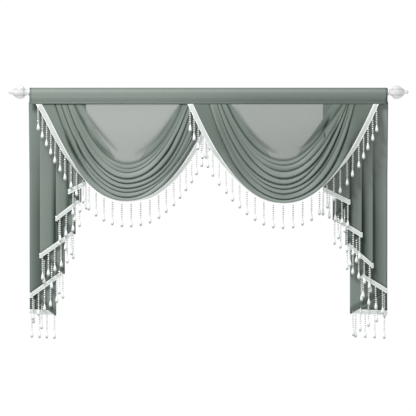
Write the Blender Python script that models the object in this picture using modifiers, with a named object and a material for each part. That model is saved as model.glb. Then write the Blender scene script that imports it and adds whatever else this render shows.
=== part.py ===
"""Swag and tail drape on a curtain rod: two sheer swags and two pleated tails under a rod pocket.

Frame: origin on the rod's axis at mid length, +X along the rod, +Z up, the front faces -Y.
Sizes in the tables are millimetres; MM turns them into metres.
"""
import math
from collections import namedtuple

import bmesh
import bpy
from mathutils import Vector

MM = 0.001

# Driving dimensions
CLOTH = 1.5            # thickness of every cloth solid
GAP = 0.3              # space left between neighbouring pieces
SEWN_GAP = 0.6         # space between a hem and its braid
ROD_RADIUS = 14.0
ROD_HALF = 757.6       # half the rod's length between the finials
CLOTH_LEFT = -749.7    # outer edges of the valance
CLOTH_RIGHT = 751.8
HEADER_BOTTOM = -48.3
HEADER_BOTTOM_HALF = 14.2   # half the pocket's depth at its lower edge, on the cloth's middle
HEADER_MIDDLE = -18.0  # level at which the pocket's sides start to close in
HEADER_CLOSING = 0.6   # how far they have closed in there, as a share of the way to the rod
POCKET_EASE = 0.5      # slack of the pocket round the rod
POCKET_RISE = 3.6      # how far the stitched top edge stands above the rod
SEAM = -50.4           # level at which swags and tails leave the heading
TUCK = 10.0            # length of cloth caught inside the heading
TRIM_WIDTH = 21.0      # braid sewn to each hem
DROP_HALF_ROOT = 1.5   # half width of a bead string
DROP_LENGTH = 101.0
SWAG_LEAN = 36.0       # how far a swag's foot stands forward of its top
LEAN_FROM = 0.5        # place on the right swag's left half where its drops start to lean forward
LEAN_SPAN = 0.25       # distance over which they reach their full slope
LEAN_BOW = 1.15        # 1 for a straight lean, more for one that grows further down
FORWARD_GROWTH = 60.0  # depth below the heading over which the right swag comes forward
BOW_MID = 2.0          # bow of a fold line at the middle of a swag
HEM_BOW_MID = 2.15     # bow of the hem there
HEM_BOW_SPREAD = 3.0   # how late the hem's bow changes towards its ends
ROLL_GROWTH = 120.0    # depth below the heading at which rolls are full
ROLL_POWER = 1.5       # 1 for evenly round rolls, more for narrower ones
ROLL_DROOP = 0.9       # how far a full roll hangs over the line below it, as a share of its width
DROOP_FROM = 0.3       # depth of a roll, as a share of its width, at which it starts to hang over
DROOP_FULL = 0.5       # depth at which it hangs over fully
DROOP_REACH = 1.3      # reach of the overhang towards the ends, in halves of the swag
SIDE_FROM = 0.21       # place between middle and end where rolls start to flatten
SIDE_SPAN = 0.72       # distance over which they flatten
HEM_UNDER = 6.0        # how far back the hem lies where it turns fully under
HEM_LIFT = 3.0         # how far up it lies there
UNDER_FULL = 1.3       # angle at which a hem counts as fully turned under, in radians
HEM_BULGE_FLAT = 3.0   # depth of the last roll where the hem faces forward
HEM_BULGE_ROLLED = 11.0     # depth of the last roll where the hem turns under
HEM_LAST = 8.0         # length of cloth next to the hem that lies in line with the braid
CAUGHT_ASIDE = 2.0     # how far the cloth caught inside the heading runs on at each end

# One row for each fold line of a swag, from its top edge to its hem. left and right are the
# distances along the heading from the swag's middle to the line's ends, and drop is how far the
# line hangs. bow_left and bow_right shape its two halves near the heading. roll_side and roll_mid
# are the depth of the roll of cloth that ends at this line, as a share of its width, at the sides
# and in the middle. steps is the number of strips of mesh across that roll.
Fold = namedtuple("Fold", "left right drop bow_left bow_right roll_side roll_mid steps")

LEFT_FOLDS = (
    Fold(192.0, 207.0, 0.0, 2.0, 2.0, 0.0, 0.0, 0),
    Fold(232.0, 226.0, 253.3, 2.0, 2.35, 0.05, 0.05, 3),
    Fold(236.0, 233.0, 275.0, 2.0, 2.2, 0.1, 0.3, 2),
    Fold(240.5, 241.0, 290.6, 2.05, 2.3, 0.1, 0.25, 2),
    Fold(259.3, 253.0, 314.2, 2.25, 2.6, 0.35, 0.5, 4),
    Fold(267.7, 270.0, 334.3, 2.2, 3.15, 0.2, 0.5, 4),
    Fold(285.0, 287.0, 354.5, 2.3, 3.1, 0.2, 0.5, 4),
    Fold(297.0, 312.0, 371.7, 2.4, 2.9, 0.15, 0.5, 4),
    Fold(309.7, 333.0, 394.0, 2.25, 2.1, 0.3, 0.5, 4),
    Fold(365.4, 365.4, 407.4, 1.45, 2.05, 0.0, 0.0, 0),
)

RIGHT_FOLDS = (
    Fold(206.6, 196.6, 0.0, 2.0, 2.0, 0.0, 0.0, 0),
    Fold(238.1, 251.2, 239.4, 2.2, 1.5, 0.05, 0.05, 3),
    Fold(242.3, 255.4, 260.4, 2.2, 1.6, 0.1, 0.3, 2),
    Fold(248.6, 261.7, 285.6, 2.15, 2.1, 0.1, 0.25, 2),
    Fold(261.2, 268.0, 313.7, 2.1, 2.2, 0.35, 0.5, 4),
    Fold(278.0, 270.0, 339.0, 2.65, 2.25, 0.2, 0.5, 4),
    Fold(281.0, 275.0, 358.3, 2.6, 2.65, 0.2, 0.5, 4),
    Fold(288.0, 288.0, 378.8, 2.5, 2.7, 0.15, 0.5, 4),
    Fold(311.6, 300.0, 401.9, 2.6, 3.1, 0.4, 0.5, 4),
    Fold(378.0, 378.0, 415.8, 2.03, 2.03, 0.0, 0.0, 0),
)

# How far the hem of a swag turns under, in degrees, at places from its left end (-1) to its
# right end (+1): the braid faces forward at the ends and lies under the swag at the bottom.
Turn = namedtuple("Turn", "place degrees")

LEFT_TURNS = (
    Turn(-1.0, 0.0), Turn(-0.85, 5.0), Turn(-0.72, 32.0), Turn(-0.61, 63.0), Turn(-0.5, 80.0),
    Turn(-0.3, 84.0), Turn(0.1, 80.0), Turn(0.35, 52.0), Turn(0.6, 28.0), Turn(0.75, 15.0),
    Turn(1.0, 0.0),
)
RIGHT_TURNS = (
    Turn(-1.0, 0.0), Turn(-0.76, 8.0), Turn(-0.68, 45.0), Turn(-0.6, 68.0), Turn(-0.44, 84.0),
    Turn(0.45, 84.0), Turn(0.6, 74.0), Turn(0.7, 50.0), Turn(0.8, 20.0), Turn(1.0, 0.0),
)

# One swag: centre is its middle along the rod, plane the middle of its cloth at the heading,
# forward how far it stands in front of a swag behind it, skew the sideways shift of its foot,
# drops the number of bead drops on its hem, drop_first the length of hem from its left end to the
# first of them and drop_pitch from one to the next, and fringe_lean the forward slope of the drops
# near its left end, where they hang over another piece.
Swag = namedtuple("Swag", "centre plane forward skew drops drop_first drop_pitch fringe_lean folds turns")

LEFT_SWAG = Swag(-335.0, -10.4, 0.0, -8.0, 30, 2.4, 39.1, 0.0, LEFT_FOLDS, LEFT_TURNS)
RIGHT_SWAG = Swag(313.7, -12.4, 14.0, 0.0, 29, 11.0, 41.5, 0.2, RIGHT_FOLDS, RIGHT_TURNS)

# One row for each fold edge of a tail, from its inner front edge to its outer back edge: along is
# the place along the rod, hem the depth of the hem there below the rod's axis, drops the number of
# bead drops on the hem between this edge and the one before, and first and last the shares of the
# way from that edge to this one at which the first and the last of them hang.
Pleat = namedtuple("Pleat", "along hem drops first last")

LEFT_PLEATS = (
    Pleat(-514.5, 372.0, 0, 0.0, 0.0),
    Pleat(-588.4, 407.0, 3, 0.02, 0.77),
    Pleat(-535.5, 442.0, 1, 0.5, 0.5),
    Pleat(-642.2, 520.0, 4, 0.06, 0.87),
    Pleat(-560.7, 577.0, 3, 0.12, 0.8),
    Pleat(-707.7, 677.0, 6, 0.05, 0.95),
    Pleat(-606.9, 745.0, 3, 0.14, 0.8),
    Pleat(-746.0, 845.0, 6, 0.05, 0.95),
    Pleat(-644.7, 921.0, 2, 0.12, 0.45),
    Pleat(-749.7, 915.0, 4, 0.04, 0.91),
)
RIGHT_PLEATS = (
    Pleat(480.9, 397.0, 0, 0.0, 0.0),
    Pleat(593.5, 451.0, 5, 0.02, 0.96),
    Pleat(522.9, 518.0, 2, 0.29, 0.7),
    Pleat(646.0, 589.0, 5, 0.05, 0.94),
    Pleat(577.5, 623.0, 2, 0.3, 0.75),
    Pleat(693.8, 719.0, 5, 0.05, 0.9),
    Pleat(636.3, 757.0, 2, 0.16, 0.74),
    Pleat(749.0, 825.0, 4, 0.06, 0.86),
    Pleat(598.5, 914.0, 5, 0.05, 0.94),
    Pleat(751.8, 921.0, 4, 0.14, 0.92),
)

# How the layers of a tail stand at three levels below the rod's axis: back is how far the front
# layer has moved back, and pitch the distance between one layer and the next. Between the levels
# both change evenly.
Level = namedtuple("Level", "down back pitch")

TAIL_LEVELS = (Level(-SEAM, 0.0, 2.0), Level(350.0, 6.0, 5.2), Level(950.0, 7.0, 6.0))
TAIL_ROWS_UPPER = 2    # strips of mesh down to the middle level
TAIL_ROWS_LOWER = 3    # strips of mesh from there to the hem

# One tail: plane is the middle of its front layer at the heading.
Tail = namedtuple("Tail", "plane pleats")

LEFT_TAIL = Tail(-8.6, LEFT_PLEATS)
RIGHT_TAIL = Tail(-10.6, RIGHT_PLEATS)

# Turned profile of a finial: distance from its seat on the rod, and radius.
Ring = namedtuple("Ring", "out radius")

FINIAL_PROFILE = (
    Ring(0.0, 11.5), Ring(8.0, 11.5), Ring(9.5, 16.0), Ring(14.0, 17.0), Ring(19.0, 25.0),
    Ring(30.0, 29.5), Ring(39.0, 29.5), Ring(52.0, 24.0), Ring(64.0, 14.0), Ring(69.0, 7.5),
    Ring(74.0, 9.5), Ring(80.0, 8.0), Ring(84.0, 3.0),
)
FINIAL_SIDES = 10
FINIAL_TIP = 1.0       # length of the point beyond the last ring

ROD_SIDES = 32
POCKET_STEPS = 16      # strips of mesh over the top of the pocket
POCKET_LENGTHS = 4     # strips of mesh along it

# Section of a bead drop below the braid: depth, half width along the rod, half thickness.
Bead = namedtuple("Bead", "down half_width half_depth")

DROP_RINGS = (
    Bead(68.0, 1.6, 1.6), Bead(90.5, 4.8, 2.6), Bead(DROP_LENGTH, 1.2, 1.2),
)


def material(name, colour, roughness, metallic=0.0):
    """A Principled material with its own colour."""
    made = bpy.data.materials.new(name)
    made.use_nodes = True
    shader = made.node_tree.nodes["Principled BSDF"]
    shader.inputs["Base Color"].default_value = (*colour, 1.0)
    shader.inputs["Roughness"].default_value = roughness
    shader.inputs["Metallic"].default_value = metallic
    return made


def between(start, end, share):
    """The value a share of the way from start to end."""
    return start + (end - start) * share


def ease(share):
    """A smooth rise from 0 to 1."""
    share = min(1.0, max(0.0, share))
    return share * share * (3.0 - 2.0 * share)


def read_table(rows, place):
    """The second column of a table read at a place in its first column."""
    for first, second in zip(rows, rows[1:]):
        if place <= second[0]:
            return between(first[1], second[1], ease((place - first[0]) / (second[0] - first[0])))
    return rows[-1][1]


# Swags


def on_line(swag, fold, place):
    """Place along the rod and drop of a point on a fold line."""
    side = fold.left if place < 0 else fold.right
    end_bow = fold.bow_left if place < 0 else fold.bow_right
    if fold is swag.folds[-1]:
        bow = between(HEM_BOW_MID, end_bow, abs(place) ** HEM_BOW_SPREAD)
    else:
        bow = between(BOW_MID, end_bow, abs(place))
    drop = fold.drop * (1.0 - abs(place) ** bow)
    return Vector((swag.centre + side * place + swag.skew * drop / swag.folds[-1].drop, drop))


def plane_of(swag, drop):
    """Depth along Y of a swag's back plane at a distance below the heading."""
    lean = SWAG_LEAN * (max(drop, 0.0) / swag.folds[-1].drop) ** LEAN_BOW
    return swag.plane - lean - swag.forward * (1.0 - math.exp(-max(drop, 0.0) / FORWARD_GROWTH))


def swag_point(swag, upper, lower, place, share):
    """A point on the roll of cloth between two fold lines."""
    first = on_line(swag, upper, place)
    second = on_line(swag, lower, place)
    angle = 2.0 * math.pi * share
    droop = ROLL_DROOP * ease((lower.roll_mid - DROOP_FROM) / (DROOP_FULL - DROOP_FROM))
    droop *= ease(DROOP_REACH - abs(place))
    along = share + droop * (1.0 - math.cos(angle)) / (2.0 * math.pi)
    flat = first.lerp(second, along)
    side_share = ease((abs(place) - SIDE_FROM) / SIDE_SPAN)
    depth = between(lower.roll_mid, lower.roll_side, side_share) * (second - first).length
    depth *= ease(flat.y / ROLL_GROWTH) * math.sin(math.pi * share) ** ROLL_POWER
    return Vector((flat.x, plane_of(swag, flat.y) - depth, SEAM - flat.y))


def hem_frame(swag, place):
    """Hem edge of a swag, the way the braid leaves it, and the way the braid faces."""
    hem = swag.folds[-1]
    step = 0.004
    here = on_line(swag, hem, place)
    ahead = on_line(swag, hem, min(place + step, 1.0))
    behind = on_line(swag, hem, max(place - step, -1.0))
    run = (ahead - behind).normalized()
    out = Vector((-run.y, 0.0, -run.x))
    turn = math.radians(read_table(swag.turns, place))
    back = Vector((0.0, 1.0, 0.0))
    leave = out * math.cos(turn) + back * math.sin(turn)
    face = out * math.sin(turn) - back * math.cos(turn)
    under = math.sin(turn)
    edge = Vector((here.x, plane_of(swag, here.y), SEAM - here.y))
    edge += (back * HEM_UNDER - out * HEM_LIFT) * under
    return edge, leave, face


# Section of the last roll of a swag, from its upper fold line to its hem: flat and rolled are the
# share of the way down where the hem faces forward and where it turns under, and bulge is the
# share of the roll's full depth.
Panel = namedtuple("Panel", "flat rolled bulge")

HEM_PANEL = (Panel(0.0, 0.0, 0.0), Panel(0.25, 0.5, 0.95), Panel(0.5, 0.94, 1.0))


def hem_panel(swag, place, step):
    """A point on the last roll, which ends in the hem."""
    if step >= len(HEM_PANEL):
        edge, leave, _ = hem_frame(swag, place)
        return edge - leave * HEM_LAST * (len(HEM_PANEL) + 1 - step)
    row = HEM_PANEL[step]
    first = on_line(swag, swag.folds[-2], place)
    last = on_line(swag, swag.folds[-1], place)
    under = ease(math.radians(read_table(swag.turns, place)) / UNDER_FULL)
    flat = first.lerp(last, between(row.flat, row.rolled, under))
    depth = between(HEM_BULGE_FLAT, HEM_BULGE_ROLLED, under) * row.bulge * ease(flat.y / ROLL_GROWTH)
    return Vector((flat.x, plane_of(swag, flat.y) - depth, SEAM - flat.y))


def stations(swag):
    """Places of the bead drops, evenly spaced along the hem."""
    fine = 800
    hem = swag.folds[-1]
    places = [2.0 * i / fine - 1.0 for i in range(fine + 1)]
    lengths = [0.0]
    for first, second in zip(places, places[1:]):
        lengths.append(lengths[-1] + (on_line(swag, hem, second) - on_line(swag, hem, first)).length)
    found = []
    for number in range(swag.drops):
        wanted = swag.drop_first + swag.drop_pitch * number
        index = next(i for i, length in enumerate(lengths) if length >= wanted)
        found.append(places[index])
    return found


def swag_grid(swag):
    """Rows of points of a swag, from its top edge to its hem."""
    places = [-1.0] + stations(swag) + [1.0]
    rows = []
    for upper, lower in zip(swag.folds, swag.folds[1:-1]):
        for step in range(lower.steps):
            share = step / lower.steps
            rows.append([swag_point(swag, upper, lower, place, share) for place in places])
    for step in range(len(HEM_PANEL) + 2):
        rows.append([hem_panel(swag, place, step) for place in places])
    up = Vector((0.0, 0.0, TUCK))
    aside = Vector((CAUGHT_ASIDE, 0.0, 0.0))
    caught = [point + up for point in rows[0]]
    caught[0] += aside
    caught[-1] -= aside
    grid = [[row[0] + up - aside] + row + [row[-1] + up + aside] for row in rows]
    ends = Vector((0.0, 0.0, TUCK + GAP))
    return [[rows[0][0] + ends] + caught + [rows[0][-1] + ends]] + grid


# Tails


def level_at(down):
    """How far back the front layer stands and the pitch of the layers, below the rod's axis."""
    upper, lower = TAIL_LEVELS[:2] if down < TAIL_LEVELS[1].down else TAIL_LEVELS[1:]
    share = max(0.0, (down - upper.down) / (lower.down - upper.down))
    return Level(down, between(upper.back, lower.back, share), between(upper.pitch, lower.pitch, share))


def fold_radius(down):
    """Radius of a tail's fold edge, half the distance between its layers."""
    return 0.5 * level_at(down).pitch


# One place along a tail's section: along the rod, layer number (half way between two layers at a
# fold edge), depth of the hem there, the way a fold edge points, and whether a drop hangs there.
Stop = namedtuple("Stop", "along layer hem edge drop")


def tail_stops(tail):
    """The places along a tail's section, from its inner front edge to its outer back edge."""
    pleats = tail.pleats
    found = [Stop(pleats[0].along, 0.0, pleats[0].hem, 0.0, False)]
    for index in range(1, len(pleats)):
        before = pleats[index - 1]
        here = pleats[index]
        way = 1.0 if here.along > before.along else -1.0
        last = index == len(pleats) - 1
        start = before.along + (way * fold_radius(before.hem) if index > 1 else 0.0)
        end = here.along - (0.0 if last else way * fold_radius(here.hem))
        for number in range(here.drops):
            share = between(here.first, here.last, number / max(here.drops - 1, 1))
            hem = between(before.hem, here.hem, share)
            found.append(Stop(between(start, end, share), index - 1.0, hem, 0.0, True))
        if last:
            found.append(Stop(here.along, index - 1.0, here.hem, 0.0, False))
        else:
            found.append(Stop(here.along, index - 1.0, here.hem, way, False))
            found.append(Stop(here.along, index - 0.5, here.hem, 0.0, False))
            found.append(Stop(here.along, float(index), here.hem, way, False))
    return found


def tail_point(tail, stop, down):
    """A point of a tail's section at a distance below the rod's axis."""
    level = level_at(down)
    along = stop.along - stop.edge * fold_radius(down)
    return Vector((along, tail.plane + level.back + stop.layer * level.pitch, -down))


def tail_grid(tail):
    """Rows of points of a tail, from inside the heading to its hem."""
    stops = [stop for stop in tail_stops(tail) if not stop.drop]
    middle = TAIL_LEVELS[1].down
    rows = [[tail_point(tail, stop, -SEAM - TUCK) for stop in stops]]
    for row in range(TAIL_ROWS_UPPER):
        level = between(-SEAM, middle, row / TAIL_ROWS_UPPER)
        rows.append([tail_point(tail, stop, level) for stop in stops])
    for row in range(TAIL_ROWS_LOWER + 1):
        share = row / TAIL_ROWS_LOWER
        rows.append([tail_point(tail, stop, between(middle, stop.hem, share)) for stop in stops])
    return rows


# Solids


def add_mesh(name, points, faces, slot, collection):
    """A mesh object from points in millimetres, with its faces turned outward."""
    mesh = bpy.data.meshes.new(name)
    mesh.from_pydata([point * MM for point in points], [], faces)
    made = bpy.data.objects.new(name, mesh)
    collection.objects.link(made)
    mesh.materials.append(slot)
    return made


def cloth(name, rows, slot, collection):
    """A sheet of cloth with thickness, from rows of points on its middle surface."""
    count = len(rows[0])
    points = [point for row in rows for point in row]
    faces = []
    for row in range(len(rows) - 1):
        for column in range(count - 1):
            corner = row * count + column
            faces.append((corner, corner + count, corner + count + 1, corner + 1))
    made = add_mesh(name, points, faces, slot, collection)
    thick = made.modifiers.new("cloth thickness", "SOLIDIFY")
    thick.thickness = CLOTH * MM
    thick.offset = 0.0
    thick.use_even_offset = False
    made.data.shade_smooth()
    return made


def fringe(name, columns, slot, collection):
    """A braid strip with bead drops fused to its lower edge, as one closed body.

    Each column is (upper front, upper back, lower back, lower front, drop), and drop is None or
    the forward slope of a bead drop that hangs from the cell up to the next column.
    """
    points = []
    faces = []
    for column in columns:
        points.extend(column[:4])
    for index in range(len(columns) - 1):
        a = 4 * index
        b = a + 4
        faces.append((a, a + 3, b + 3, b))
        faces.append((a + 1, b + 1, b + 2, a + 2))
        faces.append((a, b, b + 1, a + 1))
        lean = columns[index][4]
        if lean is None:
            faces.append((a + 3, a + 2, b + 2, b + 3))
            continue
        root = [a + 3, b + 3, b + 2, a + 2]
        middle = sum((points[i] for i in root), Vector()) / 4.0
        low = min(points[i].z for i in root)
        way = math.copysign(1.0, points[b + 3].x - points[a + 3].x)
        for ring in DROP_RINGS:
            level = Vector((middle.x, middle.y - lean * ring.down, low - ring.down))
            wide = Vector((ring.half_width * way, 0.0, 0.0))
            deep = Vector((0.0, ring.half_depth * way, 0.0))
            start = len(points)
            points.extend((level - wide - deep, level + wide - deep,
                           level + wide + deep, level - wide + deep))
            below = [start, start + 1, start + 2, start + 3]
            for side in range(4):
                after = (side + 1) % 4
                faces.append((root[side], below[side], below[after], root[after]))
            root = below
        faces.append((root[0], root[3], root[2], root[1]))
    last = 4 * (len(columns) - 1)
    faces.append((0, 1, 2, 3))
    faces.append((last, last + 3, last + 2, last + 1))
    return add_mesh(name, points, faces, slot, collection)


def strip_column(edge, leave, face, drop):
    """Corners of a braid strip beside one point of a hem."""
    upper = edge + leave * SEWN_GAP
    lower = upper + leave * TRIM_WIDTH
    half = face * CLOTH * 0.5
    return (upper + half, upper - half, lower - half, lower + half, drop)


def swag_fringe(name, swag, slot, collection):
    """The fringe along a swag's hem."""
    rows = swag_grid(swag)
    hem = rows[-1]
    places = [-1.0, -1.0] + stations(swag) + [1.0, 1.0]
    columns = []
    for index, place in enumerate(places):
        edge, leave, face = hem_frame(swag, place)
        edge = hem[index]
        if 1 < index < len(places) - 2:
            before = (edge - hem[index - 1]).normalized()
            after = (hem[index + 1] - edge).normalized()
            lean = swag.fringe_lean * ease((-place - LEAN_FROM) / LEAN_SPAN)
            left = edge - before * DROP_HALF_ROOT
            right = edge + after * DROP_HALF_ROOT
            columns.append(strip_column(left, leave, face, lean))
            columns.append(strip_column(right, leave, face, None))
        else:
            columns.append(strip_column(edge, leave, face, None))
    return fringe(name, columns, slot, collection)


def tail_fringe(name, tail, slot, collection):
    """The fringe along a tail's zigzag hem."""
    stops = tail_stops(tail)
    hems = [tail_point(tail, stop, stop.hem) for stop in stops]
    down = Vector((0.0, 0.0, -1.0))
    columns = []
    for index, stop in enumerate(stops):
        edge = hems[index]
        run = hems[min(index + 1, len(stops) - 1)] - hems[max(index - 1, 0)]
        if stop.drop:
            face = Vector((0.0, -math.copysign(1.0, run.x), 0.0))
            step = run.normalized() * DROP_HALF_ROOT
            columns.append(strip_column(edge - step, down, face, 0.0))
            columns.append(strip_column(edge + step, down, face, None))
        else:
            face = Vector((run.y, -run.x, 0.0)).normalized()
            columns.append(strip_column(edge, down, face, None))
    return fringe(name, columns, slot, collection)


def header(slot, collection):
    """The rod pocket: a band of cloth folded over the rod."""
    radius = ROD_RADIUS + POCKET_EASE + CLOTH * 0.5
    closing = between(HEADER_BOTTOM_HALF, radius, HEADER_CLOSING)
    section = [(-HEADER_BOTTOM_HALF, HEADER_BOTTOM), (-closing, HEADER_MIDDLE)]
    for step in range(POCKET_STEPS + 1):
        angle = math.pi * step / POCKET_STEPS
        section.append((-radius * math.cos(angle), (radius + POCKET_RISE) * math.sin(angle)))
    section += [(closing, HEADER_MIDDLE), (HEADER_BOTTOM_HALF, HEADER_BOTTOM)]
    rows = []
    for depth, level in section:
        rows.append([Vector((between(CLOTH_LEFT, CLOTH_RIGHT, i / POCKET_LENGTHS), depth, level))
                     for i in range(POCKET_LENGTHS + 1)])
    return cloth("header", rows, slot, collection)


def rod(slot, collection):
    """The straight rod."""
    bpy.ops.mesh.primitive_cylinder_add(vertices=ROD_SIDES, radius=ROD_RADIUS * MM,
                                        depth=2.0 * ROD_HALF * MM,
                                        rotation=(0.0, math.pi / 2.0, 0.0))
    made = bpy.context.object
    made.name = "rod"
    made.data.materials.append(slot)
    for owner in list(made.users_collection):
        owner.objects.unlink(made)
    collection.objects.link(made)
    return made


def finial(name, side, slot, collection):
    """A faceted finial turned about the rod's axis, on the end of the rod."""
    seat = ROD_HALF + GAP
    shape = bmesh.new()
    profile = [shape.verts.new((side * (seat + ring.out) * MM, 0.0, ring.radius * MM))
               for ring in FINIAL_PROFILE]
    first = shape.verts.new((side * seat * MM, 0.0, 0.0))
    last = shape.verts.new((side * (seat + FINIAL_PROFILE[-1].out + FINIAL_TIP) * MM, 0.0, 0.0))
    chain = [first] + profile + [last]
    edges = [shape.edges.new(pair) for pair in zip(chain, chain[1:])]
    bmesh.ops.spin(shape, geom=chain + edges, cent=(0.0, 0.0, 0.0), axis=(1.0, 0.0, 0.0),
                   angle=2.0 * math.pi, steps=FINIAL_SIDES, use_merge=True, use_duplicate=False)
    bmesh.ops.remove_doubles(shape, verts=shape.verts, dist=1e-6)
    bmesh.ops.recalc_face_normals(shape, faces=shape.faces)
    mesh = bpy.data.meshes.new(name)
    shape.to_mesh(mesh)
    shape.free()
    mesh.materials.append(slot)
    made = bpy.data.objects.new(name, mesh)
    collection.objects.link(made)
    return made


def build():
    """Clear the scene and make every piece."""
    for old in list(bpy.data.objects):
        bpy.data.objects.remove(old)
    collection = bpy.data.collections.new("swag and tail drape")
    bpy.context.scene.collection.children.link(collection)
    sheer = material("sheer cloth", (0.33, 0.38, 0.35), 0.75)
    braid = material("white braid", (0.88, 0.9, 0.88), 0.6)
    crystal = material("clear crystal", (0.92, 0.95, 0.95), 0.08)
    metal = material("white metal", (0.85, 0.86, 0.86), 0.35)
    rod(metal, collection)
    finial("finial_left", -1.0, crystal, collection)
    finial("finial_right", 1.0, crystal, collection)
    header(sheer, collection)
    for name, swag in (("swag_left", LEFT_SWAG), ("swag_right", RIGHT_SWAG)):
        cloth(name, swag_grid(swag), sheer, collection)
        swag_fringe("fringe_" + name, swag, braid, collection)
    for name, tail in (("tail_left", LEFT_TAIL), ("tail_right", RIGHT_TAIL)):
        cloth(name, tail_grid(tail), sheer, collection)
        tail_fringe("fringe_" + name, tail, braid, collection)


build()
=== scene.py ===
"""Looks of the swag and tail drape: sheer voile swags and tails, braid, bead drops and finials.

Frame: origin on the rod's axis at mid length, +X along the rod, +Z up, the front faces -Y.
Sizes are in millimetres, and MM turns them into metres.
"""
import math
from collections import namedtuple

import bmesh
import bpy
import numpy as np
from mathutils import Matrix, Vector


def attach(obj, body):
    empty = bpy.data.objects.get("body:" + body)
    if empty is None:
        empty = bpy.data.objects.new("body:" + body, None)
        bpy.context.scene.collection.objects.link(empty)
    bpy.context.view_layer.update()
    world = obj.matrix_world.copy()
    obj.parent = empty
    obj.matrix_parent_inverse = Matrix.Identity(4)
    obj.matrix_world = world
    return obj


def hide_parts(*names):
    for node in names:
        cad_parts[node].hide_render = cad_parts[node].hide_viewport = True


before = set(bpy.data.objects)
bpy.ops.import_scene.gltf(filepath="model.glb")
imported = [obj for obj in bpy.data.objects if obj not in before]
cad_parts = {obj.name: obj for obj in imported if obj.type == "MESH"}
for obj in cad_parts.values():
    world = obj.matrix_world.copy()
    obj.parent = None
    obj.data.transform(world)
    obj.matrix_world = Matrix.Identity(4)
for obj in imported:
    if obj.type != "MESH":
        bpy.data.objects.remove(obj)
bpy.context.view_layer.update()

MM = 0.001
BODY = "root"

# Sizes shared with the solids
ROD_HALF = 757.6
ROD_RADIUS = 14.0
HEADER_BOTTOM = -48.3
HEADER_BOTTOM_HALF = 14.2
SEAM = -50.4
TRIM_WIDTH = 21.0
SEWN_GAP = 0.6  # between a hem and its braid
SWAG_LEAN = 36.0  # how far forward a swag's hem stands of its top edge
GAP = 0.3

CLOTH_LEFT = -752.6
CLOTH_RIGHT = 752.4
POCKET_EASE = 0.5  # between the rod and its pocket
POCKET_RISE = 3.6  # how far the stitched top edge stands above the rod
HEADING_LOW = -49.4  # lower edge of the heading's voile
TUCK = 10.0  # how far swags and tails run up inside the heading
VOILE = 0.6  # thickness of the voile sheets

def rows(kind, *values):
    return tuple(kind(*row) for row in values)


# One row for each fold line of a swag, from its top edge to its hem: how far its ends are from the
# swag's middle, how far it hangs, the bends of its halves, the depth of the roll that ends at it as a
# share of the roll's width, and the painted shade of its crease.
Fold = namedtuple("Fold", "left right drop bow_left bow_right roll_left roll_mid roll_right dark_left "
                  "dark_mid dark_right")

LEFT_FOLDS = rows(Fold,
    (192, 207, 0, 2, 2, 0, 0, 0, 0, 0, 0),
    (232, 226, 253.3, 2, 2.35, 0.05, 0.05, 0.05, 0.65, 0.52, 0.5),
    (236, 233, 275, 2, 2.2, 0.05, 0.15, 0.1, 0.05, 0, 0),
    (240.5, 241, 290.6, 2.05, 2.3, 0.05, 0.2, 0.1, 0.05, 0, 0.1),
    (259.3, 253, 314.2, 2.25, 2.6, 0.35, 0.4, 0.3, 0.8, 0.08, 0.75),
    (267.7, 270, 334.3, 2.2, 3.15, 0.1, 0.4, 0.25, 0.1, 0.07, 0.65),
    (285, 287, 354.5, 2.3, 3.1, 0.25, 0.4, 0.15, 0.8, 0.08, 0.4),
    (297, 312, 371.7, 2.4, 2.9, 0.1, 0.35, 0.1, 0.1, 0.05, 0.15),
    (309.7, 333, 394, 2.25, 2.1, 0.3, 0.3, 0.2, 0.9, 0, 0.2),
    (365.4, 365.4, 407.4, 1.45, 2.05, 0.1, 0.9, 0.1, 0, 0.19, 0.3),
)

RIGHT_FOLDS = rows(Fold,
    (206.6, 196.6, 0, 2, 2, 0, 0, 0, 0, 0, 0),
    (238.1, 251.2, 239.4, 2.2, 1.5, 0.05, 0.05, 0.05, 0.8, 0.6, 0.65),
    (242.3, 255.4, 260.4, 2.2, 1.6, 0.05, 0.21, 0.03, 0, 0.06, 0),
    (248.6, 261.7, 285.6, 2.15, 2.1, 0.05, 0.26, 0.08, 0, 0.11, 0.15),
    (261.2, 268, 313.7, 2.1, 2.2, 0.3, 0.4, 0.35, 0.8, 0.06, 0.93),
    (278, 270, 339, 2.65, 2.25, 0.25, 0.4, 0.04, 0.85, 0.07, 0),
    (281, 275, 358.3, 2.6, 2.65, 0.04, 0.4, 0.3, 0, 0.1, 0.93),
    (288, 288, 378.8, 2.5, 2.7, 0.08, 0.37, 0.08, 0.1, 0.12, 0.15),
    (311.6, 300, 401.9, 2.6, 3.1, 0.4, 0.4, 0.35, 0.8, 0.1, 0.85),
    (378, 378, 415.8, 2.03, 2.03, 0.1, 0.9, 0.1, 0, 0.19, 0.3),
)

# Places along a swag's hem, from -1 at its left end to +1 at its right end, and the degrees by which
# it turns under there.
LEFT_TURNS = (
    (-1, 0), (-0.85, 5), (-0.72, 32), (-0.61, 63), (-0.5, 80),
    (-0.3, 84), (0.1, 80), (0.35, 52), (0.6, 28), (0.75, 15),
    (1, 0),
)
RIGHT_TURNS = (
    (-1, 0), (-0.76, 8), (-0.68, 45), (-0.6, 68), (-0.44, 84),
    (0.45, 84), (0.6, 74), (0.7, 50), (0.8, 20), (1, 0),
)

# A soft crease in a swag: three points on it, each along the rod and down from the heading, then its
# width, its depth and the painted shade along it.
Crease = namedtuple("Crease", "along1 drop1 along2 drop2 along3 drop3 width depth dark")

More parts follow.
